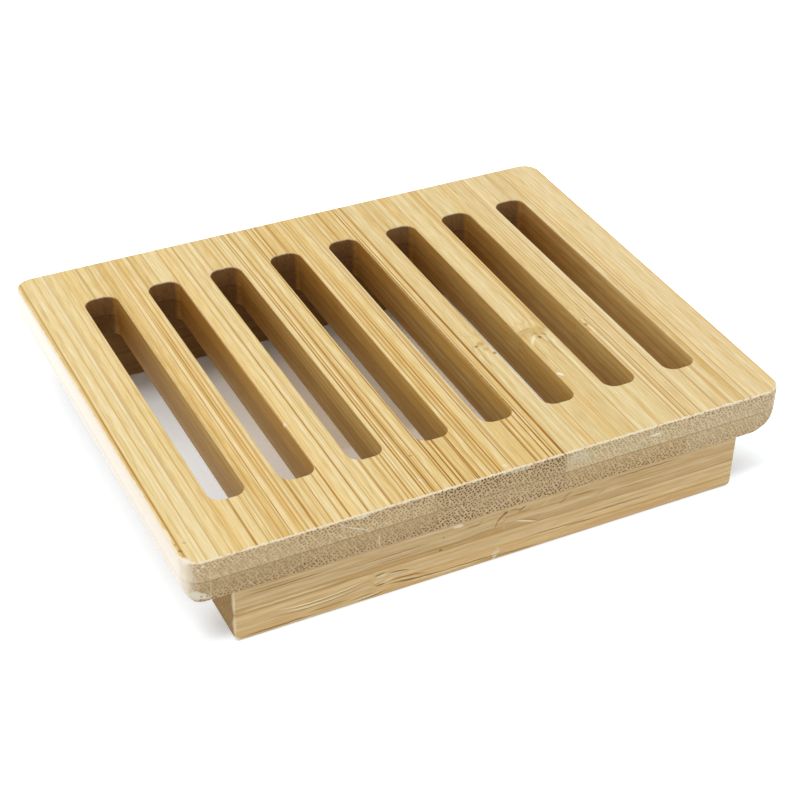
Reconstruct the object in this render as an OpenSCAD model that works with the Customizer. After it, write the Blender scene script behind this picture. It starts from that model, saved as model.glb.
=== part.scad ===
// Slatted soap dish: a two-ply board of flat-pressed bamboo strips, glued on two foot rails.
// Drain slots run with the grain, front to back. X is left to right, Y is front to back, Z is up.
// The origin is on the surface that the dish stands on, under its middle. All sizes are millimetres.

/* [Board] */
// Width of the board, across the grain
board_w = 110.6; // [90:0.1:160]
// Depth of the board, along the grain
board_d = 88.4; // [60:0.1:140]
// Thickness of one ply; the board has two
ply_t = 4.1; // [3:0.1:8]
// Plan radius of the board's four upright corners
corner_r = 3.3; // [1.5:0.1:10]
// Radius under the board's left side, where fingers lift it
left_grip_r = 3; // [1:0.1:7.5]
// Radius under its right side, which is sanded rounder
right_grip_r = 7.5; // [1:0.1:7.5]
// Radius sanded on the board's other arrises
board_ease_r = 0.5; // [0.1:0.1:1]

/* [Bamboo strips] */
// Number of strips in either ply; each joint lies in a bar, with two slots from one to the next
strip_count = 5; // [3:1:6]
// How much less than two slot spacings a whole strip measures across
strip_undersize = 0.5; // [0:0.1:1]
// Shift of all the joints to the right of the board's middle
joint_shift = -0.4; // [-1:0.1:1]

/* [Drain slots] */
// Width of a slot
slot_w = 6.2; // [4.6:0.1:8]
// Radius in a slot's corners
slot_r = 2.2; // [0.5:0.1:2.2]
// Solid wood left and right of the outermost slots
side_margin = 9.5; // [5:0.1:15]
// Gap from the front foot rail back to the slots
front_slot_gap = 1.9; // [0.2:0.1:10]
// Gap from the slots back to the rear foot rail
rear_slot_gap = 0.9; // [0.2:0.1:10]

/* [Foot rails] */
// Height of one foot strip; each rail has two, one on the other
foot_ply_t = 5.7; // [2.5:0.1:12]
// Depth of the foot rails, front to back
foot_d = 9.8; // [4:0.1:16]
// How far the rails sit in from the board's front and back faces
foot_inset = 1.1; // [0.5:0.1:6]
// Gap from where the rounder side's underside starts to curve, in to the rails' ends
foot_end_gap = 0.4; // [0.1:0.1:15]
// Radius of the rails' lower end corners
foot_corner_r = 1.5; // [1:0.1:3.5]
// Radius sanded on the rails' other arrises
foot_ease_r = 0.4; // [0.1:0.1:0.8]

/* [Hidden] */
$fn = 96;
// How far every cut runs past the wood
overrun = 1;

board_t = 2 * ply_t;
foot_h = 2 * foot_ply_t;
foot_l = board_w - 2 * (max(left_grip_r, right_grip_r) + foot_end_gap);

// Faces of the foot rails, from the front of the board backwards
front_foot_y = -board_d / 2 + foot_inset;
rear_foot_y = board_d / 2 - foot_inset - foot_d;

// The slots lie between the rails, clear of both
slot_front_y = front_foot_y + foot_d + front_slot_gap;
slot_back_y = rear_foot_y - rear_slot_gap;
slot_l = slot_back_y - slot_front_y;
slot_y = (slot_front_y + slot_back_y) / 2;

// The outer strips carry one slot each and all the others two
slot_count = 2 * (strip_count - 1);
slot_pitch = (board_w - 2 * side_margin - slot_w) / (slot_count - 1);
strip_w = 2 * slot_pitch - strip_undersize;

// Left side of strip i, counted from 0, and of the one after the last: the outer strips
// are cut down to the board's sides
function strip_x(i) =
    i <= 0 ? -board_w / 2 :
    i >= strip_count ? board_w / 2 :
    (i - strip_count / 2) * strip_w + joint_shift;

// A flat rectangle with round corners, centred
module round_rect(w, h, r) {
    square([w - 2 * r, h], center = true);
    square([w, h - 2 * r], center = true);
    for (x = [-1, 1], y = [-1, 1])
        translate([x * (w / 2 - r), y * (h / 2 - r)]) circle(r);
}

// An upright round post of height h and radius r, with both its rims rounded by e, centred
module eased_post(r, h, e) {
    rotate_extrude()
        intersection() {
            round_rect(2 * r, h, e);
            translate([0, -h / 2]) square([r, h]);
        }
}

// A slab with upright corners of radius r and all its upper and lower arrises rounded by e, centred
module eased_slab(w, d, h, r, e) {
    rotate([90, 0, 0]) linear_extrude(d - 2 * r, center = true) round_rect(w, h, e);
    rotate([90, 0, 90]) linear_extrude(w - 2 * r, center = true) round_rect(d, h, e);
    for (x = [-1, 1], y = [-1, 1])
        translate([x * (w / 2 - r), y * (d / 2 - r), 0]) eased_post(r, h, e);
}

// What is cut away under the board's right side to round it to radius r, in the board's end view
module grip_cove(r) {
    difference() {
        translate([board_w / 2 - r, -overrun]) square(r + overrun);
        translate([board_w / 2 - r, r]) circle(r);
    }
}

// The whole board, its underside at height 0, before its joints and slots
module board_blank() {
    difference() {
        translate([0, 0, board_t / 2])
            eased_slab(board_w, board_d, board_t, corner_r, board_ease_r);
        rotate([90, 0, 0])
            linear_extrude(board_d + 2 * overrun, center = true) {
                grip_cove(right_grip_r);
                mirror([1, 0]) grip_cove(left_grip_r);
            }
    }
}

// One drain slot, through both plies
module slot() {
    translate([0, slot_y, -overrun])
        linear_extrude(board_t + 2 * overrun) round_rect(slot_w, slot_l, slot_r);
}

// All drain slots
module slots() {
    for (i = [0 : slot_count - 1])
        translate([(i - (slot_count - 1) / 2) * slot_pitch, 0, 0]) slot();
}

// The part of the board that one strip takes up: strip i of ply p, where ply 0 is the lower
module board_strip(i, p) {
    translate([0, 0, foot_h])
        difference() {
            intersection() {
                board_blank();
                translate([strip_x(i), -board_d / 2 - overrun, p * ply_t])
                    cube([strip_x(i + 1) - strip_x(i), board_d + 2 * overrun, ply_t]);
            }
            slots();
        }
}

// One strip of the upper ply
module top_strip(i) {
    color("burlywood") board_strip(i, 1);
}

// One strip of the lower ply
module bottom_strip(i) {
    color("tan") board_strip(i, 0);
}

// A whole foot rail, its front face at 0 and its foot at height 0
module foot_blank() {
    translate([0, foot_d / 2, 0])
        intersection() {
            // Front view: the two lower end corners are rounded
            rotate([90, 0, 0])
                linear_extrude(foot_d, center = true)
                    intersection() {
                        translate([0, foot_h / 2 + foot_corner_r])
                            round_rect(foot_l, foot_h + 2 * foot_corner_r, foot_corner_r);
                        translate([-foot_l / 2, 0]) square([foot_l, foot_h]);
                    }
            // End view: the two long lower arrises are eased
            rotate([90, 0, 90])
                linear_extrude(foot_l + 2 * overrun, center = true)
                    translate([0, foot_h / 2 + foot_ease_r])
                        round_rect(foot_d, foot_h + 2 * foot_ease_r, foot_ease_r);
            // Plan: the four upright arrises are eased
            translate([0, 0, -overrun])
                linear_extrude(foot_h + 2 * overrun)
                    round_rect(foot_l, foot_d, foot_ease_r);
        }
}

// One strip of the foot rail that starts at y: ply 0 stands on the floor, ply 1 lies on it
module foot_strip(y, p) {
    translate([0, y, 0])
        intersection() {
            foot_blank();
            translate([-foot_l / 2 - overrun, -overrun, p * foot_ply_t])
                cube([foot_l + 2 * overrun, foot_d + 2 * overrun, foot_ply_t]);
        }
}

// The front rail's strip that is glued to the board
module front_foot_upper_strip() {
    color("sandybrown") foot_strip(front_foot_y, 1);
}

// The front rail's strip that stands on the floor
module front_foot_lower_strip() {
    color("peru") foot_strip(front_foot_y, 0);
}

// The rear rail's strip that is glued to the board
module rear_foot_upper_strip() {
    color("sandybrown") foot_strip(rear_foot_y, 1);
}

// The rear rail's strip that stands on the floor
module rear_foot_lower_strip() {
    color("peru") foot_strip(rear_foot_y, 0);
}

for (i = [0 : strip_count - 1]) {
    top_strip(i);
    bottom_strip(i);
}
front_foot_upper_strip();
front_foot_lower_strip();
rear_foot_upper_strip();
rear_foot_lower_strip();
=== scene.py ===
"""Studio picture of a slatted bamboo soap dish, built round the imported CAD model."""

import logging
import math
from collections.abc import Mapping, Sequence
from dataclasses import dataclass, field
from enum import Enum
from typing import Any

import bmesh
import bpy
from mathutils import Matrix, Vector


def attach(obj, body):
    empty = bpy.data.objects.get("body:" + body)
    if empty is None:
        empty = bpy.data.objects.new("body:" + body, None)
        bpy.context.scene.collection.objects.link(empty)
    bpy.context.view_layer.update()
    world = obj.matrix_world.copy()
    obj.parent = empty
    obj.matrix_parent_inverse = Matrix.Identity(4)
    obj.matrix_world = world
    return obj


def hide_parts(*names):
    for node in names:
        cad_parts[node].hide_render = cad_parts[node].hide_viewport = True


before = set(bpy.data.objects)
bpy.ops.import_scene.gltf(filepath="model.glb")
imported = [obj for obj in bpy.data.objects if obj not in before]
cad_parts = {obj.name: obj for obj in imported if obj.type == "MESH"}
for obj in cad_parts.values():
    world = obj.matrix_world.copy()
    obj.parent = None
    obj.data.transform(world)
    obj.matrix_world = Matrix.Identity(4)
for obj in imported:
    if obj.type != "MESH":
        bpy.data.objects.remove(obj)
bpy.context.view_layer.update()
log = logging.getLogger("soap_dish")

# A millimetre in metres
MM = 0.001
Vec = tuple[float, float, float]
# What goes into a shader socket: another node's output, or a number
Value = bpy.types.NodeSocket | float
# A Mix's sockets, by index: its two numbers, or its two colours
A, B = 2, 3
UNDER, OVER = 6, 7
# Settings that many nodes share. A Map Range takes a value, the range it has and the range it gets
COLOURS = {"out": 2, "data_type": "RGBA"}
SMOOTH = {"interpolation_type": "SMOOTHSTEP"}


def linear(colour: str) -> tuple[float, float, float, float]:
    """Turns an sRGB hex colour into the linear one that a shader socket takes.

    Args:
        colour: Six hex digits, such as "e6c98f".

    Returns:
        Red, green, blue and an alpha of 1.
    """
    parts = [int(colour[i : i + 2], 16) / 255 for i in (0, 2, 4)]
    return (*(c / 12.92 if c <= 0.04045 else ((c + 0.055) / 1.055) ** 2.4 for c in parts), 1.0)


class Grain(Enum):
    """The way a strip's fibres run: which axis goes across it, through it and along it."""

    FRONT_TO_BACK = (0, 2, 1)
    LEFT_TO_RIGHT = (1, 2, 0)


@dataclass(frozen=True)
class Outline:
    """Where the board's sides, slots and faces lie, in millimetres."""

    width: float = 110.6
    depth: float = 88.4
    corner_r: float = 3.3
    slot_w: float = 6.2
    slot_l: float = 63.8
    slot_y: float = 0.5
    slot_r: float = 2.2
    slot_pitch: float = 12.2
    slot_count: int = 8
    under_z: float = 11.4
    glue_z: float = 15.5
    top_z: float = 19.6


class Face(Enum):
    """A flat face that marks lie on: the way it looks, and how far out it lies, in millimetres."""

    TOP = ((0.0, 0.0, 1.0), 19.6)
    END_GRAIN = ((0.0, -1.0, 0.0), 44.2)
    RAIL = ((0.0, -1.0, 0.0), 43.1)

    def point(self, spot: Sequence[float]) -> Vector:
        """Turns a place on the face into a point.

        Args:
            spot: Its X and Y on the top, or its X and Z on a front face.

        Returns:
            The point.
        """
        normal, out = self.value
        rest = iter(spot)
        return Vector([axis * out if axis else next(rest) for axis in normal])


@dataclass(frozen=True)
class Mark:
    """A stroke of another colour on a face: a bent fibre, a scratch, a stain or a chip.

    In millimetres: its two ends on the face, how wide it is to either side of its middle line, how
    far that line bends up, how ragged it is, and how deep it goes into the wood.
    """

    face: Face
    start: tuple[float, float]
    end: tuple[float, float]
    wide: float = 0.13
    colour: str = "7d5722"
    strength: float = 0.7
    bend: float = 0.0
    ragged: float = 0.12
    deep: float = 0.8

    def mapping(self) -> dict[str, Any]:
        """Finds the mapping that turns the mark into a ball of radius 1.

        Returns:
            The Mapping node's inputs.
        """
        start, end = self.face.point(self.start), self.face.point(self.end)
        normal = Vector(self.face.value[0])
        along = (end - start).normalized()
        up = normal.cross(along)
        turn = Matrix((along, up, normal)).transposed().to_euler()
        size = ((end - start).length / 2, self.wide, self.deep)
        return {"Location": (start + end) / 2 + up * self.bend, "Rotation": turn, "Scale": size}


@dataclass(frozen=True)
class CulmNode:
    """A ring of the bamboo culm that crosses a strip: fibres swing towards it and break off at it.

    In millimetres: its place along the strip, how far the fibres swing through the strip, how far
    off they start to, and how much the ring wavers; and how dark its scar is, from 0 to 1.
    """

    place: float
    swing: float
    reach: float
    waver: float
    scar: float


@dataclass(frozen=True)
class Bamboo:
    """A strip of natural bamboo, sawn, pressed flat, sanded and thinly oiled.

    Along the grain its fibre bundles are straight golden-brown hairs in honey-coloured wood. Across
    the grain they are rows of dark pores in a matt fawn ground, largest and closest under the
    culm's skin. The oil has sunk in, so that the wood hardly shines.
    """

    name: str
    grain: Grain
    seed: int
    skin_z: float
    core_z: float
    wood: str = "e6c98c"
    shade: str = "dab46c"
    gleam: str = "fbebc0"
    line: str = "c08c38"
    deep_line: str = "8a5818"
    lines: float = 0.5
    end_wood: str = "c9ae84"
    pores: float = 0.8
    joints: tuple[float, ...] = ()
    # Bands of close fibre bundles, in millimetres: where, how wide to either side, and how close
    dense: tuple[Vec, ...] = ()
    # Single streaks along the whole strip: where, how wide to either side, and how dark
    streaks: tuple[Vec, ...] = ()
    culm_nodes: tuple[CulmNode, ...] = ()
    marks: tuple[Mark, ...] = ()
    outline: Outline | None = None
    # Whether one of its edges is the board's left or right side
    outer: bool = False
    # What a painted shade multiplies the colour of the face under the slots by
    damp: str | None = None
    # What warms some of the bands, and the colours of a culm node's scar and of the glue
    warm: str = "ffe9b8"
    scar: str = "8d6230"
    glue: str = "7d5629"
    # A pore's colours, at its rim and in its middle
    pore_rim: str = "967648"
    pore_middle: str = "301c08"
    # What the slots' walls are multiplied by, for the cutter's scorch and a painted shade in the
    # recess: in front, at the rear, at its end
    scorch_and_shade: tuple[str, str, str] = ("d8c69c", "b28b4a", "8e6a34")
    # The painted highlight on the board's sides, and its arrises that are sanded bare and partly a
    # painted highlight
    painted_side_light: str = "f9efe0"
    wear_and_highlight: str = "fff1d4"
    # How rough the wood is along the grain and across it, and how little it shines
    rough: tuple[float, float] = (0.5, 0.75)
    shine: float = 0.15
    # How deep cut-open fibres and pores are, in millimetres, and what share of it shows
    pit: float = 0.06
    pit_shown: float = 0.6
    # How strong and how rough the polish is that hands have given the board's sides
    polish: float = 0.92
    polish_rough: float = 0.25
    # Millimetres from one fibre bundle to the next, and how their rows lean to the right going down
    bundle_pitch: float = 0.57
    row_lean: float = math.radians(-30.0)
    # Over how many millimetres whole bundles sway, by up to half of one to either side
    sway: Vec = (24.0, 24.0, 110.0)
    # Each pattern's widths across the strip, through it and along it, in the same, and its fineness
    patterns: tuple[tuple[str, Vec, float], ...] = (
        ("band", (2.6, 2.6, 700.0), 1.0),
        ("layer", (0.8, 0.8, 500.0), 1.0),
        ("tint", (1.5, 1.5, 600.0), 0.0),
        ("cluster", (4.5, 4.5, 400.0), 1.0),
        ("dash", (0.24, 0.24, 5.0), 2.0),
        ("fray", (0.5, 0.5, 0.9), 2.0),
        ("speck", (0.7, 0.7, 0.55), 2.0),
    )

    @property
    def start(self) -> Vec:
        """Where the strip's patterns start, so that no two strips are alike."""
        return (31.7 * self.seed, 17.3 * self.seed, 211.0 * self.seed)

    def material(self) -> bpy.types.Material:
        """Builds the strip's material.

        Returns:
            The material.
        """
        made = bpy.data.materials.new(self.name)
        made.use_nodes = True
        BambooShader(made.node_tree, self).shade()
        return made


class Nodes:
    """The shader nodes of one material or of the world."""

    def __init__(self, tree: bpy.types.NodeTree) -> None:
        """Empties a node tree, to fill it anew.

        Args:
            tree: The tree.
        """
        self.tree = tree
        tree.nodes.clear()

    def add(
        self,
        kind: str,
        *inputs: Any,
        at: Mapping[int | str, Any] | None = None,
        out: int | str = 0,
        **settings: Any,
    ) -> Any:
        """Adds a node.

        Args:
            kind: Its type without the ShaderNode prefix, and its operation after a full stop.
            *inputs: What goes into its first sockets: values, or other nodes' outputs.
            at: What goes into others, by their index or name.
            out: The output to return.
            **settings: The node's own properties.

        Returns:
            That output's socket, or None where the node has no output.
        """
        kind, _, operation = kind.partition(".")
        node = self.tree.nodes.new("ShaderNode" + kind)
        if operation:
            node.operation = operation
        for name, value in settings.items():
            setattr(node, name, value)
        for key, value in (dict(enumerate(inputs)) | (at or {})).items():
            if isinstance(value, bpy.types.NodeSocket):
                self.tree.links.new(value, node.inputs[key])
            else:
                node.inputs[key].default_value = value
        return node.outputs[out] if node.outputs else None


class BambooShader(Nodes):
    """The shader nodes of one bamboo strip. Places are in millimetres, and shares from 0 to 1."""

    def __init__(self, tree: bpy.types.NodeTree, finish: Bamboo) -> None:
        """Finds where a point of the surface is among the strip's fibres.

        Args:
            tree: The material's tree.
            finish: What the bamboo is like.
        """
        super().__init__(tree)
        self.finish = finish
        place = {0: self.add("TexCoord", out="Object"), "Scale": 1 / MM}
        self.place = self.add("VectorMath.SCALE", at=place)
        self.axes = self.add("SeparateXYZ", self.place).node.outputs
        normal = self.add("SeparateXYZ", self.add("TexCoord", out="Normal"))
        self.normal = normal.node.outputs
        across, through, along = finish.grain.value
        # The normal tells end grain from long grain
        end = self.add("Math.ABSOLUTE", self.normal[along])
        self.end = self.add("MapRange", end, 0.5, 0.85, **SMOOTH)
        self.across = self.axes[across]
        strip = self.add("CombineXYZ", self.across, self.axes[through], self.axes[along])
        strip = self.add("VectorMath.ADD", strip, finish.start)
        # The place that the patterns read, and how near a culm node is
        self.moved, self.gap = self.bent_fibres(strip, self.axes[along])
        self.pattern = {}
        for name, widths, detail in finish.patterns:
            spread = self.add("VectorMath.DIVIDE", self.moved, widths)
            noise = {"Vector": spread, "Scale": 1.0, "Detail": detail}
            self.pattern[name] = self.add("TexNoise", at=noise)
        # The bundles' rows: how far the nearest bundle is, in pitches, and a number of its own
        turn = {0: self.moved, "Angle": finish.row_lean}
        self.rows = self.add("VectorRotate", at=turn, rotation_type="Z_AXIS")
        cells = {"Vector": self.rows, "Scale": 1 / finish.bundle_pitch, "Randomness": 0.6}
        cells = self.add("TexVoronoi", at=cells, out="Distance", voronoi_dimensions="2D")
        self.bundle = cells
        self.chance = self.add("SeparateColor", cells.node.outputs["Color"])
        self.crowd = self.closeness()
        # Lines show less on a strip's edges, and towards the board's rear
        flat = self.add("Math.ABSOLUTE", self.normal[through])
        self.clear = self.add("MapRange", flat, 0.0, 1.0, 0.35, 1.0)
        if finish.outline:
            rear = self.add("MapRange", self.axes[1], -10.0, 30.0, 1.0, 0.65)
            self.clear = self.add("Math.MULTIPLY", self.clear, rear)

    def bent_fibres(self, strip: Value, along: Value) -> tuple[Value, Value]:
        """Lets the fibres sway a little, and swings and breaks them at the culm's nodes.

        Args:
            strip: The place in the strip's own axes.
            along: The place along the strip.

        Returns:
            The place that the patterns read, and how near a node is.
        """
        wide = self.add("VectorMath.DIVIDE", strip, self.finish.sway)
        wide = {"Vector": wide, "Scale": 1.0, "Detail": 1.0}
        sway = self.add("TexNoise", at=wide, out="Color")
        moved = self.add("VectorMath.MULTIPLY_ADD", sway, (1.0, 1.0, 0.0), strip)
        gap: Value = 0.0
        for node in self.finish.culm_nodes:
            # The ring wavers across the strip and through it
            ring = self.add("VectorMath.MULTIPLY", strip, (0.3, 0.3, 0.0))
            ring = self.add("TexNoise", at={"Vector": ring, "Scale": 1.0, "Detail": 1.0})
            middle = node.place - node.waver / 2
            ring = self.add("Math.MULTIPLY_ADD", ring, node.waver, middle)
            off = self.add("Math.SUBTRACT", along, ring)
            far = self.add("Math.ABSOLUTE", off)
            near = self.add("MapRange", far, node.reach, 0.0, interpolation_type="SMOOTHERSTEP")
            curl = self.add("VectorMath.DIVIDE", strip, (6.0, 4.0, 9.0))
            curl = {"Vector": curl, "Scale": 1.0, "Detail": 1.0}
            curl = self.add("TexNoise", at=curl, out="Color")
            least = (-0.5, -0.6 - node.swing, 0.0)
            curl = self.add("VectorMath.MULTIPLY_ADD", curl, (1.0, 1.2, 0.0), least)
            curl = self.add("VectorMath.SCALE", curl, at={"Scale": near})
            moved = self.add("VectorMath.ADD", moved, curl)
            # Past the ring other fibres go on
            past = self.add("MapRange", off, -0.2, 0.2)
            jump = self.add("VectorMath.SCALE", (7.3, 5.9, 0.0), at={"Scale": past})
            moved = self.add("VectorMath.ADD", moved, jump)
            close = self.add("MapRange", far, 1.5, 0.2, 0.0, node.scar, **SMOOTH)
            gap = self.add("Math.MAXIMUM", gap, close)
        return moved, gap

    def closeness(self) -> Value:
        """Finds how close the fibre bundles lie.

        Returns:
            Their closeness.
        """
        crowd = self.add("MapRange", self.pattern["cluster"], 0.38, 0.7, 0.0, 0.6)
        for at, width, amount in self.finish.dense:
            off = self.add("Math.SUBTRACT", self.across, at)
            off = self.add("Math.ABSOLUTE", off)
            near = self.add("MapRange", off, width * 1.4, width * 0.5, 0.0, amount, **SMOOTH)
            crowd = self.add("Math.MAXIMUM", crowd, near)
        return crowd

    def shade(self) -> None:
        """Builds the shader from the wood's looks, from the inside out."""
        finish = self.finish
        long_colour, relief = self.long_grain()
        end_colour, pit = self.end_grain()
        colour = self.add("Mix", self.end, at={UNDER: long_colour, OVER: end_colour}, **COLOURS)
        colour = self.glue_lines(colour)
        side: Value = 0.0
        if finish.outline:
            colour, side = self.worn_board(colour)
        if finish.damp:
            # A painted shade darkens the faces that look to the front
            inner = self.add("MapRange", self.normal[1], -0.5, -0.9)
            shaded = {UNDER: colour, OVER: linear(finish.damp)}
            colour = self.add("Mix", inner, at=shaded, blend_type="MULTIPLY", **COLOURS)
        # Cut-open fibres are fine grooves, and pores are pits
        height = self.add("Mix", self.end, at={A: relief, B: pit})
        bump = {"Strength": finish.pit_shown, "Distance": finish.pit * MM, "Height": height}
        looks = {
            "Base Color": self.marked(colour),
            "Roughness": self.add("MapRange", self.end, 0.0, 1.0, *finish.rough),
            "Specular IOR Level": finish.shine,
            "Normal": self.add("Bump", at=bump),
        }
        if finish.outer:
            # Polished sides mirror the table at a glancing angle
            looks["Coat Weight"] = self.add("Math.MULTIPLY", side, finish.polish)
            looks["Coat Roughness"] = finish.polish_rough
        self.add("OutputMaterial", self.add("BsdfPrincipled", at=looks))

    def long_grain(self) -> tuple[Value, Value]:
        """Colours the faces along the grain: honey bands, with a brown line where a bundle is cut.

        Returns:
            The colour, and the relief for the bump.
        """
        finish, pattern = self.finish, self.pattern
        parts = self.add("CombineXYZ", pattern["band"], pattern["layer"], pattern["dash"])
        value = self.add("VectorMath.DOT_PRODUCT", parts, (0.3, 0.75, 0.8), out="Value")
        # What half the weights' sum has over a half comes off: the mean is the ramp's middle
        value = self.add("Math.SUBTRACT", value, 0.425)
        value = self.add("Mix", self.gap, at={A: value, B: 0.38})
        colour = self.add("ValToRGB", value)
        stops = colour.node.color_ramp.elements
        stops[0].position, stops[0].color = 0.2, linear(finish.shade)
        stops[1].position, stops[1].color = 0.8, linear(finish.gleam)
        stops.new(0.5).color = linear(finish.wood)
        warm = self.add("MapRange", pattern["tint"], 0.5, 0.7, 0.0, 0.35, **SMOOTH)
        warmed = {UNDER: colour, OVER: linear(finish.warm)}
        colour = self.add("Mix", warm, at=warmed, blend_type="MULTIPLY", **COLOURS)

        # The closer the bundles, the more of them show
        shown = self.add("Math.ADD", self.chance, self.crowd)
        shown = self.add("MapRange", shown, 0.75, 1.35)
        faded = self.add("MapRange", pattern["dash"], 0.3, 0.6, 0.6, 1.0)
        line = self.add("MapRange", self.bundle, 0.38, 0.14, 0.0, finish.lines, **SMOOTH)
        for share in (shown, faded):
            line = self.add("Math.MULTIPLY", line, share)
        place = self.add("SeparateXYZ", self.moved)
        for at, wide, dark in finish.streaks:
            # The patterns start at the seed's own place, and the sway adds half a millimetre
            off = self.add("Math.SUBTRACT", place, at + 0.5 + finish.start[0])
            off = self.add("Math.ABSOLUTE", off)
            streak = self.add("MapRange", off, wide * 1.15, wide * 0.35, 0.0, dark, **SMOOTH)
            streak = self.add("Math.MULTIPLY", streak, faded)
            line = self.add("Math.MAXIMUM", line, streak)
        line = self.add("Math.MULTIPLY", line, self.clear)
        # Thin lines are golden, and the middle of strong ones is brown
        for low, high, tone in ((0.0, 0.6, finish.line), (0.5, 1.15, finish.deep_line)):
            part = self.add("MapRange", line, low, high)
            colour = self.add("Mix", part, at={UNDER: colour, OVER: linear(tone)}, **COLOURS)
        if finish.culm_nodes:
            speck = self.add("MapRange", pattern["speck"], 0.5, 0.62, **SMOOTH)
            scar = self.add("Math.MULTIPLY", speck, self.gap)
            scarred = {UNDER: colour, OVER: linear(finish.scar)}
            colour = self.add("Mix", scar, at=scarred, **COLOURS)
        return colour, self.add("Math.SUBTRACT", value, line)

    def end_grain(self) -> tuple[Value, Value]:
        """Colours the faces across the grain: a dark round pore where each bundle ends.

        Returns:
            The colour, and the relief for the bump.
        """
        finish = self.finish
        skin = self.add("MapRange", self.axes[2], finish.core_z, finish.skin_z)
        close = self.add("Math.MULTIPLY_ADD", self.crowd, 0.35, 0.35)
        close = self.add("Math.ADD", close, skin)
        size = self.add("MapRange", close, 0.3, 1.7, 0.3, 0.45)
        pore = self.add("MapRange", self.bundle, size, 0.18, **SMOOTH)
        shares = [
            self.add("MapRange", self.chance, 0.0, 1.0, 0.7, 1.0),
            self.add("MapRange", close, 0.3, 1.5, 0.5 * finish.pores, finish.pores),
        ]
        if finish.outline:
            # The cutter has smeared the pores shut in the slots' ends
            far = self.add("Math.ABSOLUTE", self.axes[1])
            slot_end = 0.5 * finish.outline.slot_l + 1.5
            shares.append(self.add("MapRange", far, slot_end, 40.0, 0.3))
        for share in shares:
            pore = self.add("Math.MULTIPLY", pore, share)
        # Pale fibres between the rows of pores
        lean = self.add("VectorMath.MULTIPLY", self.rows, (2.2, 0.5, 0.0))
        streak = self.add("TexNoise", at={"Vector": lean, "Scale": 1.0, "Detail": 2.0})
        light = {"Scale": self.add("MapRange", streak, 0.3, 0.7, 0.84, 1.16)}
        colour = self.add("VectorMath.SCALE", linear(finish.end_wood)[:3], at=light)
        for low, high, tone in ((0.0, 0.6, finish.pore_rim), (0.4, 1.0, finish.pore_middle)):
            part = self.add("MapRange", pore, low, high)
            colour = self.add("Mix", part, at={UNDER: colour, OVER: linear(tone)}, **COLOURS)
        return colour, self.add("Math.SUBTRACT", 1.0, pore)

    def glue_lines(self, colour: Value) -> Value:
        """Draws the joints as hair lines, darker than the wood.

        Args:
            colour: The colour so far.

        Returns:
            The colour with them.
        """
        joints = [(self.across, joint, 0.2) for joint in self.finish.joints]
        glue: Value = 0.0
        for place, at, dark in ((self.axes[2], self.finish.core_z, 0.4), *joints):
            off = self.add("Math.SUBTRACT", place, at)
            off = self.add("Math.ABSOLUTE", off)
            hair = self.add("MapRange", off, 0.16, 0.04, 0.0, dark, **SMOOTH)
            glue = self.add("Math.MAXIMUM", glue, hair)
        glued = {UNDER: colour, OVER: linear(self.finish.glue)}
        return self.add("Mix", glue, at=glued, **COLOURS)

    def outside(self, x: Value, y: Value, radius: float) -> Value:
        """Measures how far a place lies outside a rectangle with round corners.

        Args:
            x: How far it is past the corners' centres, sideways.
            y: The same, front to back.
            radius: The corners' radius.

        Returns:
            The distance, below zero within the rectangle.
        """
        past = self.add("VectorMath.MAXIMUM", self.add("CombineXYZ", x, y), (0.0, 0.0, 0.0))
        past = self.add("VectorMath.LENGTH", past, out="Value")
        within = self.add("Math.MAXIMUM", x, y)
        within = self.add("Math.MINIMUM", within, 0.0)
        both = self.add("Math.ADD", past, within)
        return self.add("Math.SUBTRACT", both, radius)

    def edges(self, wide: Value) -> tuple[Value, Value]:
        """Measures how far a place lies from the board's outline and from the slots.

        Args:
            wide: How far it is from the board's middle, sideways.

        Returns:
            How far in it is from the outline, and how far out from the nearest slot.
        """
        o = self.finish.outline
        x = self.add("Math.SUBTRACT", wide, o.width / 2 - o.corner_r)
        y = self.add("Math.ABSOLUTE", self.axes[1])
        y = self.add("Math.SUBTRACT", y, o.depth / 2 - o.corner_r)
        edge = self.add("Math.MULTIPLY", self.outside(x, y, o.corner_r), -1.0)

        # All slots are folded onto one, save that the wood past the last one stays outside it
        cycle = self.add("Math.MULTIPLY", self.axes[0], 1 / o.slot_pitch)
        x = self.add("Math.SUBTRACT", self.add("Math.FRACT", cycle), 0.5)
        x = self.add("Math.ABSOLUTE", x)
        x = self.add("Math.MULTIPLY", x, o.slot_pitch)
        past_last = self.add("Math.SUBTRACT", wide, (o.slot_count - 1) / 2 * o.slot_pitch)
        x = self.add("Math.MAXIMUM", x, past_last)
        x = self.add("Math.SUBTRACT", x, o.slot_w / 2 - o.slot_r)
        y = self.add("Math.SUBTRACT", self.axes[1], o.slot_y)
        y = self.add("Math.ABSOLUTE", y)
        y = self.add("Math.SUBTRACT", y, o.slot_l / 2 - o.slot_r)
        return edge, self.outside(x, y, o.slot_r)

    def worn_board(self, colour: Value) -> tuple[Value, Value]:
        """Browns the slots' walls by scorch and painted shade, and pales the sides and arrises by
        painted highlight and wear.

        Args:
            colour: The colour so far.

        Returns:
            The colour with them, and how much a place is part of the sides with the painted
            highlight.
        """
        o = self.finish.outline
        wide = self.add("Math.ABSOLUTE", self.axes[0])
        edge, rim = self.edges(wide)
        top = self.add("Math.SUBTRACT", o.top_z, self.axes[2])
        low = self.add("Math.SUBTRACT", self.axes[2], o.under_z)
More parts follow.
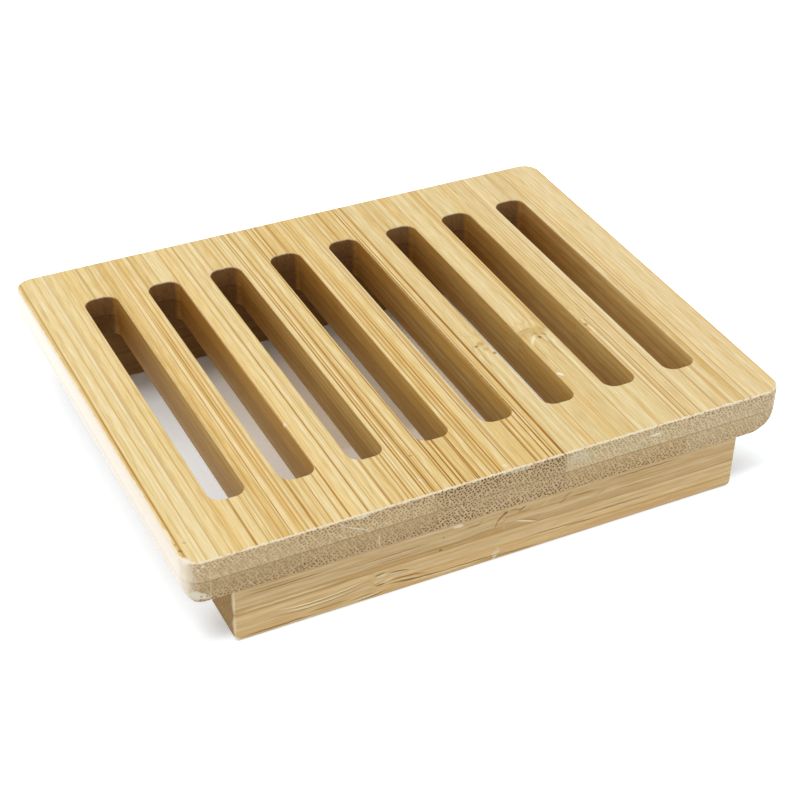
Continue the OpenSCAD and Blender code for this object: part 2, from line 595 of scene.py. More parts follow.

        # The slots' walls are browned, partly the cutter's scorch and partly painted shade in the
        # recess, most at their rear ends
        deep = self.add("Math.ADD", low, 0.35)
        deep = self.add("Math.MINIMUM", top, deep)
        wall = self.add("MapRange", deep, 0.05, 0.4, **SMOOTH)
        close = self.add("MapRange", rim, 0.3, 0.05, 0.0, 0.9, **SMOOTH)
        wall = self.add("Math.MULTIPLY", wall, close)
        rear = self.add("MapRange", self.axes[1], -10.0, 0.5 * o.slot_l, **SMOOTH)
        front_brown, rear_brown, end_brown = (linear(tone) for tone in self.finish.scorch_and_shade)
        brown = {UNDER: front_brown, OVER: rear_brown}
        brown = {UNDER: self.add("Mix", rear, at=brown, **COLOURS), OVER: end_brown}
        rear = self.add("Math.MULTIPLY", rear, self.end)
        brown = {UNDER: colour, OVER: self.add("Mix", rear, at=brown, **COLOURS)}
        colour = self.add("Mix", wall, at=brown, blend_type="MULTIPLY", **COLOURS)

        side: Value = 0.0
        if self.finish.outer:
            # A painted highlight pales the sides, in the board's outer 5 mm
            outer = self.add("MapRange", wide, o.width / 2 - 5.5, o.width / 2 - 4.5)
            long_face = self.add("MapRange", self.end, 0.0, 1.0, 1.0, 0.3)
            side = self.add("Math.ABSOLUTE", self.normal[0])
            side = self.add("MapRange", side, 0.25, 0.65, **SMOOTH)
            for share in (outer, long_face):
                side = self.add("Math.MULTIPLY", side, share)
            pale = self.add("Math.MULTIPLY", side, 0.72)
            painted_side_light = {UNDER: colour, OVER: linear(self.finish.painted_side_light)}
            colour = self.add("Mix", pale, at=painted_side_light, **COLOURS)

        # Each arris: how far off its two faces are, how wide it is worn, and how pale, by wear and
        # a painted highlight
        arrises = ((edge, top, 0.28, 0.85), (rim, top, 0.14, 0.15), (edge, low, 0.26, 0.5))
        frayed = self.add("MapRange", self.pattern["fray"], 0.0, 1.0, -0.3, 0.3)
        worn: Value = 0.0
        for off, face, size, wear_and_highlight in arrises:
            depth = self.add("Math.MAXIMUM", off, face)
            depth = self.add("Math.ADD", depth, frayed)
            pale = self.add("MapRange", depth, size * 1.3, size * 0.7, 0.0, wear_and_highlight, **SMOOTH)
            worn = self.add("Math.MAXIMUM", worn, pale)
        worn_and_lit = {UNDER: colour, OVER: linear(self.finish.wear_and_highlight)}
        return self.add("Mix", worn, at=worn_and_lit, **COLOURS), side

    def marked(self, colour: Value) -> Value:
        """Adds the strip's chips, scratches and stains.

        Args:
            colour: The colour so far.

        Returns:
            The colour with them.
        """
        if not self.finish.marks:
            return colour
        ragged = {"Vector": self.place, "Scale": 0.6, "Detail": 3.0}
        ragged = self.add("TexNoise", at=ragged, out="Color")
        ragged = self.add("VectorMath.SUBTRACT", ragged, (0.5, 0.5, 0.5))
        for mark in self.finish.marks:
            fray = (2 * mark.ragged,) * 3
            off = self.add("VectorMath.MULTIPLY_ADD", ragged, fray, self.place)
            off = self.add("Mapping", off, at=mark.mapping(), vector_type="TEXTURE")
            if mark.bend:
                # The line bends back down to the mark's two ends
                square = self.add("SeparateXYZ", self.add("VectorMath.MULTIPLY", off, off))
                rise = self.add("Math.MULTIPLY", square, mark.bend / mark.wide)
                rise = self.add("CombineXYZ", 0.0, rise)
                off = self.add("VectorMath.ADD", off, rise)
            off = self.add("VectorMath.LENGTH", off, out="Value")
            part = self.add("MapRange", off, 1.25, 0.6, 0.0, mark.strength, **SMOOTH)
            drawn = {UNDER: colour, OVER: linear(mark.colour)}
            colour = self.add("Mix", part, at=drawn, **COLOURS)
        return colour


@dataclass
class Strip:
    """One glued strip: a copy of its CAD node with its slots' rims eased, dressed in bamboo."""

    node: str
    piece: str
    slot: str
    finish: Bamboo
    # The height of the face that its slots open on, and the radius of their rims, in millimetres
    rim_z: float | None = None
    rim_radius: float = 0.25
    outline: Outline = field(default_factory=Outline)
    # How near corners are merged, in millimetres, and how flat edges dissolve or are shaded smooth
    merge: float = 0.001
    dissolve: float = math.radians(0.5)
    smooth: float = math.radians(32)

    def build(self) -> bpy.types.Object:
        """Makes the strip and puts it in its CAD node's place.

        Returns:
            The finished piece.
        """
        mesh = bpy.data.meshes.new(self.piece)
        bm = bmesh.new()
        bm.from_mesh(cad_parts[self.node].data)
        bmesh.ops.remove_doubles(bm, verts=bm.verts, dist=self.merge * MM)
        bmesh.ops.dissolve_limit(bm, angle_limit=self.dissolve, verts=bm.verts, edges=bm.edges)
        if self.rim_z is not None:
            bmesh.ops.bevel(
                bm,
                geom=self.slot_rims(bm),
                offset=self.rim_radius * MM,
                offset_type="OFFSET",
                segments=3,
                profile=0.5,
                affect="EDGES",
                material=-1,
                clamp_overlap=True,
            )
        for face in bm.faces:
            face.smooth = True
        for edge in bm.edges:
            edge.smooth = len(edge.link_faces) == 2 and edge.calc_face_angle() < self.smooth
        bm.to_mesh(mesh)
        bm.free()
        made = bpy.data.objects.new(self.piece, mesh)
        bpy.context.scene.collection.objects.link(made)
        mesh.materials.append(self.finish.material())
        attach(made, "root")
        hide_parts(self.node)
        return made

    def slot_rims(self, bm: bmesh.types.BMesh) -> list[bmesh.types.BMEdge]:
        """Finds the edges where the slots leave the strip's outer face.

        Args:
            bm: The strip's mesh.

        Returns:
            The edges.
        """
        o = self.outline
        # How far off the face and off the slot an edge may lie, in millimetres
        off_face, off_slot = 0.01, 0.05
        sharp = math.radians(60)
        rims = []
        for edge in bm.edges:
            middle = (edge.verts[0].co + edge.verts[1].co) / (2 * MM)
            x = abs((middle.x / o.slot_pitch) % 1 - 0.5) * o.slot_pitch - o.slot_w / 2
            y = abs(middle.y - o.slot_y) - o.slot_l / 2
            level = all(abs(v.co.z / MM - self.rim_z) < off_face for v in edge.verts)
            if level and max(x, y) < off_slot and edge.calc_face_angle(0.0) > sharp:
                rims.append(edge)
        return rims


def marks(face: Face, *rows: tuple[Any, ...]) -> tuple[Mark, ...]:
    """Makes the marks of one face, where each row is a mark's own values."""
    return tuple(Mark(face, *row) for row in rows)


@dataclass
class Board:
    """The slotted board: two plies of five strips, grain front to back."""

    # Where the strips meet, in millimetres
    joints: tuple[float, ...] = (-36.25, -12.35, 11.55, 35.45)
    outline: Outline = field(default_factory=Outline)

    def upper_looks(self) -> tuple[dict[str, Any], ...]:
        """Describes the upper ply's strips as they look in the photograph.

        Returns:
            What is special about each strip's finish, left to right.
        """
        corner = marks(
            Face.END_GRAIN,
            # The worn front left corner
            ((-54.7, 19.0), (-54.5, 15.5), 0.8, "ece0c6", 0.4, 0.0, 1.2, 2.5),
            ((-51.4, 17.6), (-51.3, 15.2), 0.11, "e6d6b2", 0.5),
            ((-52.6, 18.5), (-52.2, 19.0), 0.2, "fff8e6", 0.8, 0.0, 0.2),
            ((-53.3, 17.8), (-52.9, 18.3), 0.15, "f3ead4", 0.6, 0.0, 0.2),
            ((-50.6, 17.9), (-50.4, 18.4), 0.12, "f3ead4", 0.6),
            ((-36.1, 18.0), (-35.9, 19.4), 0.35, "8a4a28", 0.5, 0.0, 0.3),
        ) + marks(
            Face.TOP,
            ((-54.9, -42.0), (-54.2, -43.3), 0.5, "fff6e2", 0.8, 0.0, 0.5),
            ((-54.7, -39.9), (-54.3, -40.7), 0.3, "9c6c30", 0.75, 0.0, 0.3),
            ((-54.9, -38.4), (-54.6, -38.9), 0.2, "b0803c", 0.6, 0.0, 0.2),
            ((-55.0, -37.5), (-54.9, -34.0), 0.25, "fff3d8", 0.8, 0.0, 0.3),
            ((-55.1, -30.0), (-55.0, -21.0), 0.2, "fff3d8", 0.7, 0.0, 0.3),
            ((-53.6, -38.6), (-53.0, -38.9), 0.15, "a87434", 0.6),
        )
        second = marks(
            Face.END_GRAIN,
            ((-30.0, 19.4), (-28.4, 18.0), 0.12, "f3e8ce", 0.75),
            ((-28.5, 18.1), (-24.9, 16.3), 0.14, "f3e8ce", 0.8, -0.1),
            ((-25.0, 16.4), (-24.4, 15.6), 0.12, "f3e8ce", 0.6),
            ((-27.0, 19.1), (-24.0, 19.2), 0.3, "fff3da", 0.6, 0.0, 0.3),
        ) + marks(
            Face.TOP,
            ((-27.2, -17.2), (-27.0, -18.0), 0.3, "fff6e4", 0.7, 0.0, 0.5),
            ((-13.9, -40.2), (-13.2, -40.4), 0.2, "fff3d8", 0.6, 0.0, 0.2),
        )
        third = marks(
            Face.TOP,
            ((-12.4, -33.7), (-11.7, -34.0), 0.25, "b5853f", 0.6, 0.0, 0.3),
            ((0.2, -42.4), (1.1, -43.0), 0.3, "fff3da", 0.6, 0.0, 0.6),
        ) + marks(
            Face.END_GRAIN,
            ((-0.8, 19.2), (5.0, 19.1), 0.3, "efe6d0", 0.5, 0.0, 0.8),
            ((-10.2, 17.2), (-9.8, 16.4), 0.15, "f3ead4", 0.6),
        )
        # The ring of the culm that crosses the fourth strip
        fourth = marks(
            Face.TOP,
            ((21.0, -10.9), (27.6, -10.7), 1.5, "cfac66", 0.55, 0.0, 0.8),
            ((12.4, -10.9), (13.2, -10.5), 0.28, "8f6228", 0.8, 0.1, 0.2),
            ((13.2, -10.4), (14.4, -9.9), 0.6, "c9974e", 0.6, 0.0, 0.4),
            ((13.4, -12.2), (14.6, -12.0), 0.5, "cfa058", 0.5, 0.0, 0.4),
            ((14.7, -13.3), (14.7, -14.2), 0.32, "96682c", 0.75, 0.0, 0.2),
            ((12.5, -13.2), (12.4, -17.5), 0.14, "b58a48", 0.6),
            ((21.5, -10.1), (24.5, -9.5), 0.12, "a87c3a", 0.6, 0.15),
            ((24.3, -10.8), (24.4, -12.0), 0.16, "a87c3a", 0.6),
            ((22.1, -14.6), (24.1, -11.8), 0.35, "fbecc2", 0.8, 0.2),
            ((24.4, -12.3), (24.6, -13.2), 0.35, "936528", 0.8, 0.0, 0.2),
            ((25.4, -11.6), (26.0, -12.6), 0.35, "b98e4c", 0.6, 0.0, 0.3),
            ((25.5, -13.2), (25.6, -19.6), 0.14, "b08340", 0.65, -0.15),
            ((22.4, -14.0), (22.4, -20.0), 0.13, "b58a48", 0.5),
            ((24.9, -13.0), (25.0, -15.5), 0.12, "b58a48", 0.5),
            ((34.2, -12.2), (34.1, -13.2), 0.4, "b08340", 0.7, 0.0, 0.3),
            ((33.8, -13.6), (33.9, -15.0), 0.35, "dfa866", 0.6, 0.0, 0.3),
            ((21.7, -23.6), (22.2, -24.9), 0.35, "fffaf0", 0.9, 0.0, 0.3),
        ) + marks(
            Face.END_GRAIN,
            ((11.8, 18.4), (17.0, 17.4), 1.3, "e0dac2", 0.3, 0.0, 1.2, 2.5),
            ((27.8, 17.9), (30.2, 17.7), 0.25, "fbf3de", 0.8, 0.0, 0.4),
        )
        return (
            dict(
                wood="f0d697",
                lines=0.45,
                pores=0.47,
                end_wood="d6be96",
                dense=((-49.0, 1.2, 0.5), (-42.0, 0.8, 0.5), (-37.3, 1.2, 0.7)),
                streaks=(
                    (-54.4, 0.24, 0.6), (-51.6, 0.15, 0.35), (-49.5, 0.16, 0.35),
                    (-43.3, 0.3, 0.6), (-41.3, 0.12, 0.5), (-40.4, 0.15, 0.35),
                    (-38.7, 0.12, 0.4), (-37.2, 0.14, 0.6),
                ),
                marks=corner,
            ),
            dict(
                wood="eed291",
                lines=0.75,
                pores=0.65,
                end_wood="d6be95",
                dense=((-35.2, 1.2, 0.7), (-27.0, 0.8, 0.6), (-15.5, 3.6, 0.8)),
                streaks=(
                    (-35.4, 0.12, 0.5), (-34.5, 0.12, 0.5), (-33.2, 0.34, 0.6),
                    (-30.4, 0.14, 0.55), (-27.3, 0.12, 0.5), (-24.3, 0.16, 0.7),
                    (-22.9, 0.12, 0.4), (-19.9, 0.13, 0.55), (-18.0, 0.12, 0.45),
                    (-16.3, 0.15, 0.65), (-15.6, 0.12, 0.5), (-12.6, 0.25, 0.75),
                ),
                marks=second,
            ),
            dict(
                wood="ebce8b",
                lines=0.95,
                pores=1.0,
                end_wood="ccb48c",
                dense=((-5.0, 7.0, 0.7), (8.3, 2.6, 0.8)),
                streaks=(
                    (-11.5, 0.14, 0.65), (-9.6, 0.16, 0.75), (-6.9, 0.12, 0.5),
                    (-4.9, 0.18, 0.75), (-3.4, 0.12, 0.55), (-2.2, 0.14, 0.65), (1.6, 0.15, 0.7),
                    (2.3, 0.4, 0.4), (6.3, 0.13, 0.6), (8.5, 0.13, 0.6), (9.4, 0.12, 0.55),
                    (11.1, 0.32, 0.9),
                ),
                marks=third,
            ),
            dict(
                wood="e9d197",
                lines=0.25,
                pores=0.55,
                end_wood="dcc8a0",
                streaks=(
                    (15.5, 0.12, 0.3), (17.4, 0.13, 0.4), (25.5, 0.14, 0.4), (34.0, 0.3, 0.4),
                    (35.0, 0.22, 0.5),
                ),
                culm_nodes=(CulmNode(-10.7, 0.4, 6.0, 1.6, 0.12),),
                marks=fourth,
            ),
            dict(
                wood="edd5a0",
                lines=0.4,
                pores=0.58,
                end_wood="dcc7a2",
                dense=((36.6, 1.4, 0.8), (50.0, 2.0, 0.4)),
                streaks=(
                    (35.9, 0.14, 0.5), (38.0, 0.18, 0.55), (41.4, 0.14, 0.4), (44.1, 0.14, 0.4),
                    (47.0, 0.2, 0.35),
                ),
            ),
        )

    def lower_looks(self) -> tuple[dict[str, Any], ...]:
        """Describes the lower ply's strips as their ends look in the photograph.

        Returns:
            What is special about each strip's finish, left to right.
        """
        return (
            dict(
                pores=0.62,
                end_wood="c3aa82",
                dense=((-37.0, 2.0, 0.9),),
                marks=marks(
                    Face.END_GRAIN,
                    ((-51.3, 15.8), (-51.3, 12.0), 0.12, "e6d6b2", 0.5),
                    ((-54.9, 13.3), (-51.3, 12.3), 0.75, "f3ecd8", 0.8, 0.0, 0.7, 2.5),
                    ((-53.0, 12.9), (-52.7, 12.6), 0.2, "9c8e68", 0.8, 0.0, 0.2),
                    ((-52.1, 12.7), (-51.8, 12.5), 0.2, "9c8e68", 0.8, 0.0, 0.2),
                ),
            ),
            dict(
                pores=0.7,
                end_wood="c8ae86",
                dense=((-35.0, 2.5, 0.9), (-13.0, 2.5, 0.8)),
                marks=marks(Face.END_GRAIN, ((-22.6, 14.6), (-22.5, 11.6), 0.16, "efe2c4", 0.6)),
            ),
            dict(pores=0.88, end_wood="cfb68e", dense=((-9.0, 4.0, 1.0), (9.0, 3.0, 0.8))),
            dict(pores=0.72, end_wood="ceb489"),
            dict(pores=0.6, end_wood="d4bd96"),
        )

    def build(self) -> list[bpy.types.Object]:
        """Builds all ten strips.

        Returns:
            The upper ply's pieces and then the lower ply's, left to right.
        """
        o = self.outline
        made = []
        for ply, looks, face, slot, first_seed in (
            ("top", self.upper_looks(), o.top_z, "board_top_bamboo", 1),
            ("bottom", self.lower_looks(), o.under_z, "board_bottom_bamboo", 8),
        ):
            for i, look in enumerate(looks):
                finish = Bamboo(
                    name=f"natural_bamboo_{ply}_{i + 1}",
                    grain=Grain.FRONT_TO_BACK,
                    seed=first_seed + i,
                    skin_z=face,
                    core_z=o.glue_z,
                    joints=self.joints[max(i - 1, 0) : i + 1],
                    outline=o,
                    outer=i in (0, len(looks) - 1),
                    **look,
                )
                node = f"{ply}_strip_{i + 1}"
                made.append(Strip(node, f"bamboo_{node}", slot, finish, rim_z=face).build())
        return made


@dataclass
class FootRail:
    """A foot rail: two strips laid one on the other, grain left to right."""

    side: str
    # The upper strip's seed; the lower one's is the next
    seed: int
    # Each strip's wood at its darkest, on the whole and at its palest. The upper strip's are
    # darker, a painted shade under the board's overhang
    upper_woods: tuple[str, str, str]
    lower_woods: tuple[str, str, str]
    height: float = 11.4
    upper_marks: tuple[Mark, ...] = ()
    lower_marks: tuple[Mark, ...] = ()
    damp: str | None = None

    def build(self) -> list[bpy.types.Object]:
        """Builds the two strips.

        Returns:
            The upper and the lower piece.
        """
        made = []
        upper_ring = CulmNode(1.0, 0.3, 9.0, 2.0, 0.05)
        lower_ring = CulmNode(-23.0, 0.3, 10.0, 2.0, 0.05)
        plies = (
            ("upper", self.height, upper_ring, self.upper_woods, self.upper_marks),
            ("lower", 0.0, lower_ring, self.lower_woods, self.lower_marks),
        )
        for i, (level, skin, ring, (shade, wood, gleam), drawn) in enumerate(plies):
            finish = Bamboo(
                name=f"natural_bamboo_{self.side}_foot_{level}",
                grain=Grain.LEFT_TO_RIGHT,
                seed=self.seed + i,
                skin_z=skin,
                core_z=self.height / 2,
                wood=wood,
                shade=shade,
                gleam=gleam,
                line="9a7230",
                deep_line="6e4a18",
                lines=0.85,
                pores=0.5,
                end_wood="a98a5e",
                culm_nodes=(ring,),
                marks=drawn,
                damp=self.damp,
            )
            node = f"{self.side}_foot_{level}_strip"
            made.append(Strip(node, f"bamboo_{node}", "foot_bamboo", finish).build())
        return made

    @classmethod
    def front(cls) -> "FootRail":
        """Describes the front rail, whose fibres swing round a ring of the culm in either strip.

        Returns:
            The rail.
        """
        upper = marks(
            Face.RAIL,
            ((-46.5, 9.2), (-30.3, 9.35), 0.14, "86602a", 0.75, -0.1),
            ((-45.0, 9.8), (-36.0, 9.75), 0.12, "8f6a34", 0.45),
            ((-30.5, 8.4), (-22.0, 8.1), 0.12, "8f6a34", 0.5),
            ((-24.0, 8.2), (-13.6, 8.3), 0.14, "86602a", 0.65),
            ((-25.0, 7.0), (-13.5, 7.2), 0.13, "8f6a34", 0.55),
            ((-47.0, 5.95), (-29.0, 6.15), 0.26, "ecd6a2", 0.8, 0.0, 0.2),
            ((-46.0, 6.8), (-33.0, 6.7), 0.14, "e3cb95", 0.45),
            ((-17.5, 10.1), (-8.5, 10.05), 0.16, "f0e2bf", 0.6, 0.0, 0.2),
            ((-25.2, 9.9), (-21.5, 9.9), 0.45, "dcc29c", 0.6, 0.0, 0.4),
            ((-8.6, 9.95), (-6.4, 9.75), 0.38, "f8ecd2", 0.8, 0.0, 0.7),
            ((-11.1, 5.95), (-10.5, 6.05), 0.2, "6c4a1c", 0.8),
            ((-10.5, 8.5), (-10.1, 8.5), 0.2, "80602c", 0.6),
            ((-14.0, 6.5), (-5.5, 6.3), 0.13, "a07838", 0.45),
            ((-6.2, 8.9), (-3.4, 8.9), 0.15, "8f6a34", 0.55, 0.1),
            ((-4.2, 8.8), (-2.9, 9.7), 0.12, "8f6a34", 0.55),
            ((-5.0, 6.1), (5.0, 5.95), 0.12, "b08a48", 0.5),
            ((-0.7, 7.1), (-0.3, 8.2), 0.12, "86602a", 0.6),
            ((-0.5, 8.0), (1.5, 9.75), 0.18, "86622f", 0.8, 0.15),
            ((0.9, 9.4), (1.7, 9.95), 0.24, "725222", 0.85),
            ((1.8, 9.95), (4.2, 9.4), 0.15, "9a6c2c", 0.7, 0.15),
            ((3.7, 9.1), (5.1, 9.95), 0.18, "86622f", 0.8),
            ((3.4, 8.9), (6.4, 9.1), 0.12, "8f6a34", 0.5, -0.1),
            ((4.6, 7.05), (7.7, 6.05), 0.11, "8a5e26", 0.6, 0.1),
            ((3.3, 7.25), (7.4, 5.75), 0.17, "fbe8b8", 0.95, 0.05, 0.05),
            ((8.2, 8.7), (10.0, 10.0), 0.12, "e8d2a0", 0.7),
            ((10.0, 7.3), (11.9, 8.4), 0.11, "e3cb95", 0.6),
            ((11.5, 8.1), (13.2, 8.9), 0.14, "80602c", 0.6),
            ((12.3, 9.0), (14.0, 9.95), 0.13, "80602c", 0.6),
            ((13.8, 9.25), (20.0, 9.2), 0.12, "e3cb95", 0.6),
            ((14.0, 8.75), (18.5, 8.7), 0.13, "86602a", 0.65),
            ((18.6, 7.3), (21.2, 8.4), 0.11, "8f6a34", 0.5),
            ((20.5, 9.95), (36.0, 9.95), 0.15, "8e6838", 0.75),
            ((20.0, 7.2), (31.0, 7.2), 0.11, "8f6a34", 0.4),
            ((23.5, 7.9), (38.0, 8.0), 0.11, "8f6a34", 0.35),
            # The pale arris at the rail's left end: wear and a painted highlight
            ((-47.3, 5.8), (-47.25, 11.3), 0.2, "f2e2bc", 0.8, 0.0, 0.15),
        )
        lower = marks(
            Face.RAIL,
            ((-39.5, 4.0), (-24.6, 4.45), 0.19, "fdeec2", 0.95, -0.75),
            ((-38.0, 3.45), (-24.1, 4.25), 0.14, "8e6838", 0.65, -0.5),
            ((-38.5, 3.2), (-27.5, 3.1), 0.18, "fdeec2", 0.85, -0.4),
            ((-41.0, 2.85), (-24.0, 3.4), 0.14, "8e6838", 0.6, -0.6),
            ((-35.0, 1.45), (-27.0, 1.6), 0.13, "8a6430", 0.65),
            ((-46.3, 0.75), (-33.0, 0.8), 0.16, "86622f", 0.75),
            ((-22.8, 4.7), (-20.9, 5.0), 0.14, "70501f", 0.85),
            ((-22.6, 4.4), (-20.4, 4.5), 0.28, "f0dfb4", 0.85, 0.0, 0.3),
            ((-20.5, 4.55), (-16.5, 3.95), 0.15, "7c5828", 0.8, 0.12),
            ((-22.9, 3.05), (-19.3, 3.1), 0.15, "fbecc2", 0.9, 0.1),
            ((-22.7, 2.55), (-20.8, 2.65), 0.14, "70501f", 0.85),
            ((-23.3, 2.9), (-20.3, 3.4), 0.11, "8a5e26", 0.6),
            ((-20.4, 2.85), (-13.5, 2.2), 0.17, "96642a", 0.75, 0.18),
            ((-20.0, 2.1), (-14.5, 1.5), 0.15, "86622f", 0.8, 0.1),
            ((-19.2, 2.35), (-14.3, 1.8), 0.12, "f2dfae", 0.75, 0.1),
            ((-26.6, 0.8), (-21.4, 1.25), 0.14, "fbecc2", 0.85, -0.1),
            ((-26.0, 0.55), (-21.0, 1.05), 0.13, "725222", 0.75, -0.1),
            ((-27.0, 1.1), (-23.0, 1.45), 0.11, "8a5e26", 0.6),
            ((-18.5, 1.75), (-9.5, 1.3), 0.16, "86622f", 0.8),
            ((-10.5, 1.35), (1.5, 1.15), 0.15, "8e6838", 0.75),
            ((-16.5, 1.2), (-3.0, 0.9), 0.17, "f6e6b8", 0.7),
            ((-4.0, 0.85), (8.0, 0.6), 0.14, "8e6838", 0.65),
            ((-1.1, 1.4), (0.8, 1.9), 0.35, "f8ecd2", 0.75, 0.0, 0.8),
            ((-0.6, 0.3), (0.0, 1.1), 0.35, "f8ecd2", 0.75, 0.0, 0.7),
            ((0.1, 2.9), (0.4, 1.9), 0.15, "ecdcb4", 0.6, 0.0, 0.3),
            ((5.5, 2.95), (16.5, 2.75), 0.13, "8e6838", 0.65),
            ((6.0, 2.6), (16.5, 2.45), 0.17, "ecd8a4", 0.75),
            ((19.0, 5.2), (44.0, 5.15), 0.19, "e6cd98", 0.65),
            ((16.5, 3.85), (31.0, 3.8), 0.14, "8f6632", 0.7),
            ((16.0, 3.4), (40.0, 3.4), 0.17, "e6cd98", 0.6),
            ((13.0, 2.55), (20.0, 2.45), 0.13, "8a6430", 0.6),
            ((13.0, 1.3), (45.0, 1.2), 0.5, "cb9c60", 0.35, 0.0, 0.3),
            # The same pale arris on the lower strip: wear and a painted highlight
            ((-47.25, 1.2), (-47.3, 5.8), 0.2, "f2e2bc", 0.8, 0.0, 0.15),
            ((-47.3, 1.4), (-46.2, 0.3), 0.25, "fffaf0", 0.7, -0.2, 0.4),
        )
        return cls(
            side="front",
            seed=21,
            upper_woods=("c4a26e", "d5b887", "e4cda2"),
            lower_woods=("d0ae7a", "e0c391", "f0daad"),
            upper_marks=upper,
            lower_marks=lower,
        )

    @classmethod
    def rear(cls) -> "FootRail":
        """Describes the rear rail, whose inner face has a painted shade, dark brown where the slots
        show it.

        Returns:
            The rail.
        """
        return cls(
            side="rear",
            seed=24,
            upper_woods=("c4a26e", "d5b887", "e4cda2"),
            lower_woods=("caa873", "dabd8b", "e8d1a4"),
            damp="988269",
        )


@dataclass
class Studio:
    """A white table under a soft overhead light, and the camera that took the picture."""

    # The table's colour and its side, and the dish's width and depth, in metres
    table_white: str = "e8e8e8"
    table_size: float = 6.0
    dish: tuple[float, float] = (0.1106, 0.0884)
    # Where the table's glow starts and is full, in metres out from the dish's outline
    glow_reach: tuple[float, float] = (-0.055, 0.003)
    # The glow between the two, which paints the dish's shadow: warm between the rails and cool at
    # the sides
    painted_shadow_ramp: tuple[tuple[float, Vec], ...] = (
        (0.0, (0.11, 0.08, 0.045)),
        (0.155, (0.17, 0.12, 0.075)),
        (0.38, (0.28, 0.25, 0.215)),
        (0.6, (0.395, 0.415, 0.435)),
        (0.85, (0.41, 0.455, 0.5)),
        (0.95, (0.54, 0.6, 0.65)),
        (1.0, (0.8, 0.85, 0.9)),
    )
    # How much further out the painted shadow reaches on the right, in metres, and how many times as
    # deep it is at the back. Both start 5 mm past the dish's middle
    right_reach: float = 0.004
    back_depth: float = 2.5
    # The lamp's place and side in metres, and its power in watts
    lamp_place: Vec = (-0.35, 0.3, 0.9)
    lamp_size: float = 1.0
    lamp_power: float = 1.5
    # The world's strength, and what the camera sees of it
    room_light: float = 0.86
    room_white: float = 1.0
    # The camera as it was solved from the photograph's edges: its lens and sensor in millimetres,
    # its place and how near it starts to see in metres, and which ways are right and up in it
    lens: float = 82.514
    sensor: float = 36.0
    clip: float = 0.01
    camera_place: Vec = (-0.12228, -0.24365, 0.20291)
    camera_right: Vec = (0.89512, -0.4454, 0.01935)
    camera_up: Vec = (0.24789, 0.53332, 0.80877)

    def build(self) -> None:
        """Sets up the table, the lamp, the world and the camera."""
        bpy.context.scene.view_settings.view_transform = "Standard"
        self.table()
        self.lamp()
        self.world()
        self.camera()

    def table(self) -> None:
        """Lays the table top."""
        bm = bmesh.new()
        bmesh.ops.create_grid(bm, x_segments=1, y_segments=1, size=self.table_size / 2)
        mesh = bpy.data.meshes.new("table_top")
        bm.to_mesh(mesh)
        bm.free()
        mesh.materials.append(self.matt_white())
        made = bpy.data.objects.new("table_top", mesh)
        bpy.context.scene.collection.objects.link(made)

    def matt_white(self) -> bpy.types.Material:
        """Paints the table matt white, and lets it glow, because the picture is overexposed; the
        glow paints the dish's shadow.

        Returns:
            The table's material.
        """
        paint = bpy.data.materials.new("matt_white_table")
        paint.use_nodes = True
        n = Nodes(paint.node_tree)
        place = n.add("SeparateXYZ", n.add("TexCoord", out="Object")).node.outputs
        off = self.past_dish(n, place)
        glow = n.add("ValToRGB", n.add("MapRange", off, *self.glow_reach))
        stops = glow.node.color_ramp.elements
        for position, _ in self.painted_shadow_ramp[1:-1]:
            stops.new(position)
        for stop, (_, colour) in zip(stops, self.painted_shadow_ramp):
            stop.color = (*colour, 1.0)
        # Only the camera and gloss see the glow, so that it lights nothing
        camera = n.add("LightPath", out="Is Camera Ray")
        seen = n.add("Math.MAXIMUM", camera, camera.node.outputs["Is Glossy Ray"])
        glow = n.add("Emission", glow, self.shade(n, seen, place, off))
        matt = n.add("BsdfDiffuse", linear(self.table_white))
        both = n.add("AddShader", matt, glow)
        # From below, the table doesn't hide the dish
        below = n.add("NewGeometry", out="Backfacing")
        below = n.add("Math.MULTIPLY", below, camera)
        both = n.add("MixShader", below, both, n.add("BsdfTransparent"))
        n.add("OutputMaterial", both)
        return paint

    def past_dish(self, n: Nodes, place: Sequence[Value]) -> Value:
        """Measures how far a place of the table is past the dish's outline.

        Args:
            n: The material's nodes.
            place: The sockets of its X, Y and Z, in metres.

        Returns:
            The metres, below zero under the dish.
        """
        right = n.add("MapRange", place[0], -0.005, 0.005, 0.0, self.right_reach)
        right = n.add("Math.ADD", right, self.dish[0] / 2)
        x = n.add("Math.ABSOLUTE", place[0])
        x = n.add("Math.SUBTRACT", x, right)
        y = n.add("Math.ABSOLUTE", place[1])
        y = n.add("Math.SUBTRACT", y, self.dish[1] / 2)
        # The painted shadow is deeper at the back
        back = n.add("MapRange", place[1], -0.005, 0.005, 1.0, self.back_depth)
        y = n.add("Math.MULTIPLY", y, back)
        return n.add("Math.MAXIMUM", x, y)

    def shade(self, n: Nodes, glow: Value, place: Sequence[Value], off: Value) -> Value:
        """Paints deeper shadow into the glow, under the board and beside the front rail's ends.

        Args:
            n: The material's nodes.
            glow: The glow's strength so far.
            place: The sockets of the place's X, Y and Z, in metres.
            off: How far it is past the dish's outline.

        Returns:
            The strength that is left.
        """
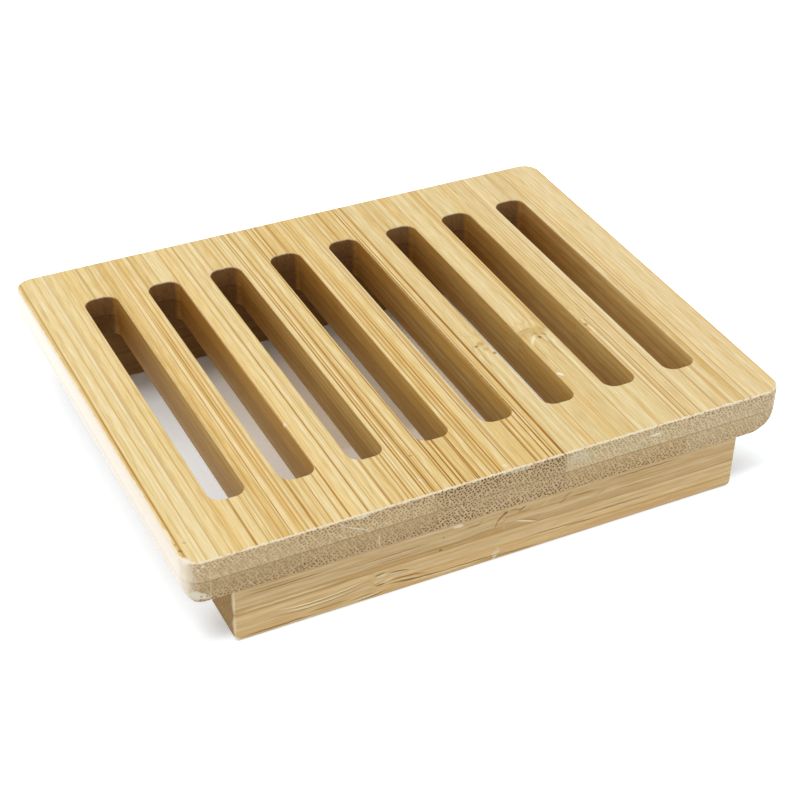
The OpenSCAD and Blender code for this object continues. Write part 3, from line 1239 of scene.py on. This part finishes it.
        # Painted shadow: under the board it is darker towards the rear, and darkest where it meets
        # the rear rail
        rear = n.add("MapRange", place[1], 0.005, 0.024, 1.0, 0.58)
        close = n.add("MapRange", place[1], 0.0235, 0.03, 1.0, 0.0)
        rear = n.add("Math.MULTIPLY", rear, close)
        under = n.add("MapRange", off, -0.006, -0.016)
        glow = n.add("Math.MULTIPLY", glow, n.add("Mix", under, at={A: 1.0, B: rear}))
        # A painted shadow darkens it beside the front rail's ends too
        foot = n.add("MapRange", place[0], -0.052, -0.048, 0.0, 0.5)
        for axis, far, near in ((0, 0.064, 0.05), (1, -0.033, -0.038), (1, -0.042, -0.04)):
            share = n.add("MapRange", place[axis], far, near)
            foot = n.add("Math.MULTIPLY", foot, share)
        return n.add("Math.MULTIPLY", glow, n.add("Math.SUBTRACT", 1.0, foot))

    def lamp(self) -> None:
        """Hangs a square soft light that faces the dish."""
        light = bpy.data.lights.new("overhead", "AREA")
        light.shape, light.size, light.energy = "SQUARE", self.lamp_size, self.lamp_power
        made = bpy.data.objects.new("overhead", light)
        made.location = self.lamp_place
        made.rotation_euler = (-Vector(self.lamp_place)).to_track_quat("-Z", "Y").to_euler()
        bpy.context.scene.collection.objects.link(made)

    def world(self) -> None:
        """Surrounds the dish with even white light."""
        world = bpy.data.worlds.new("white_room")
        bpy.context.scene.world = world
        world.use_nodes = True
        n = Nodes(world.node_tree)
        seen = n.add("LightPath", out="Is Camera Ray")
        light = n.add("MapRange", seen, 0.0, 1.0, self.room_light, self.room_white)
        n.add("OutputWorld", n.add("Background", linear("ffffff"), light))

    def camera(self) -> None:
        """Places the camera."""
        lens = bpy.data.cameras.new("camera")
        lens.lens, lens.sensor_width, lens.clip_start = self.lens, self.sensor, self.clip
        made = bpy.data.objects.new("camera", lens)
        right, up = Vector(self.camera_right), Vector(self.camera_up)
        turn = Matrix((right, up, right.cross(up))).transposed().to_4x4()
        made.matrix_world = Matrix.Translation(self.camera_place) @ turn
        bpy.context.scene.collection.objects.link(made)
        bpy.context.scene.camera = made


def main() -> None:
    """Builds the dish and its studio, and reports every piece."""
    logging.basicConfig(level=logging.INFO, format="%(message)s")
    Studio().build()
    groups: Sequence[Board | FootRail] = (Board(), FootRail.front(), FootRail.rear())
    for group in groups:
        for piece in group.build():
            log.info("%s: %d faces", piece.name, len(piece.data.polygons))


if __name__ == "__main__":
    main()
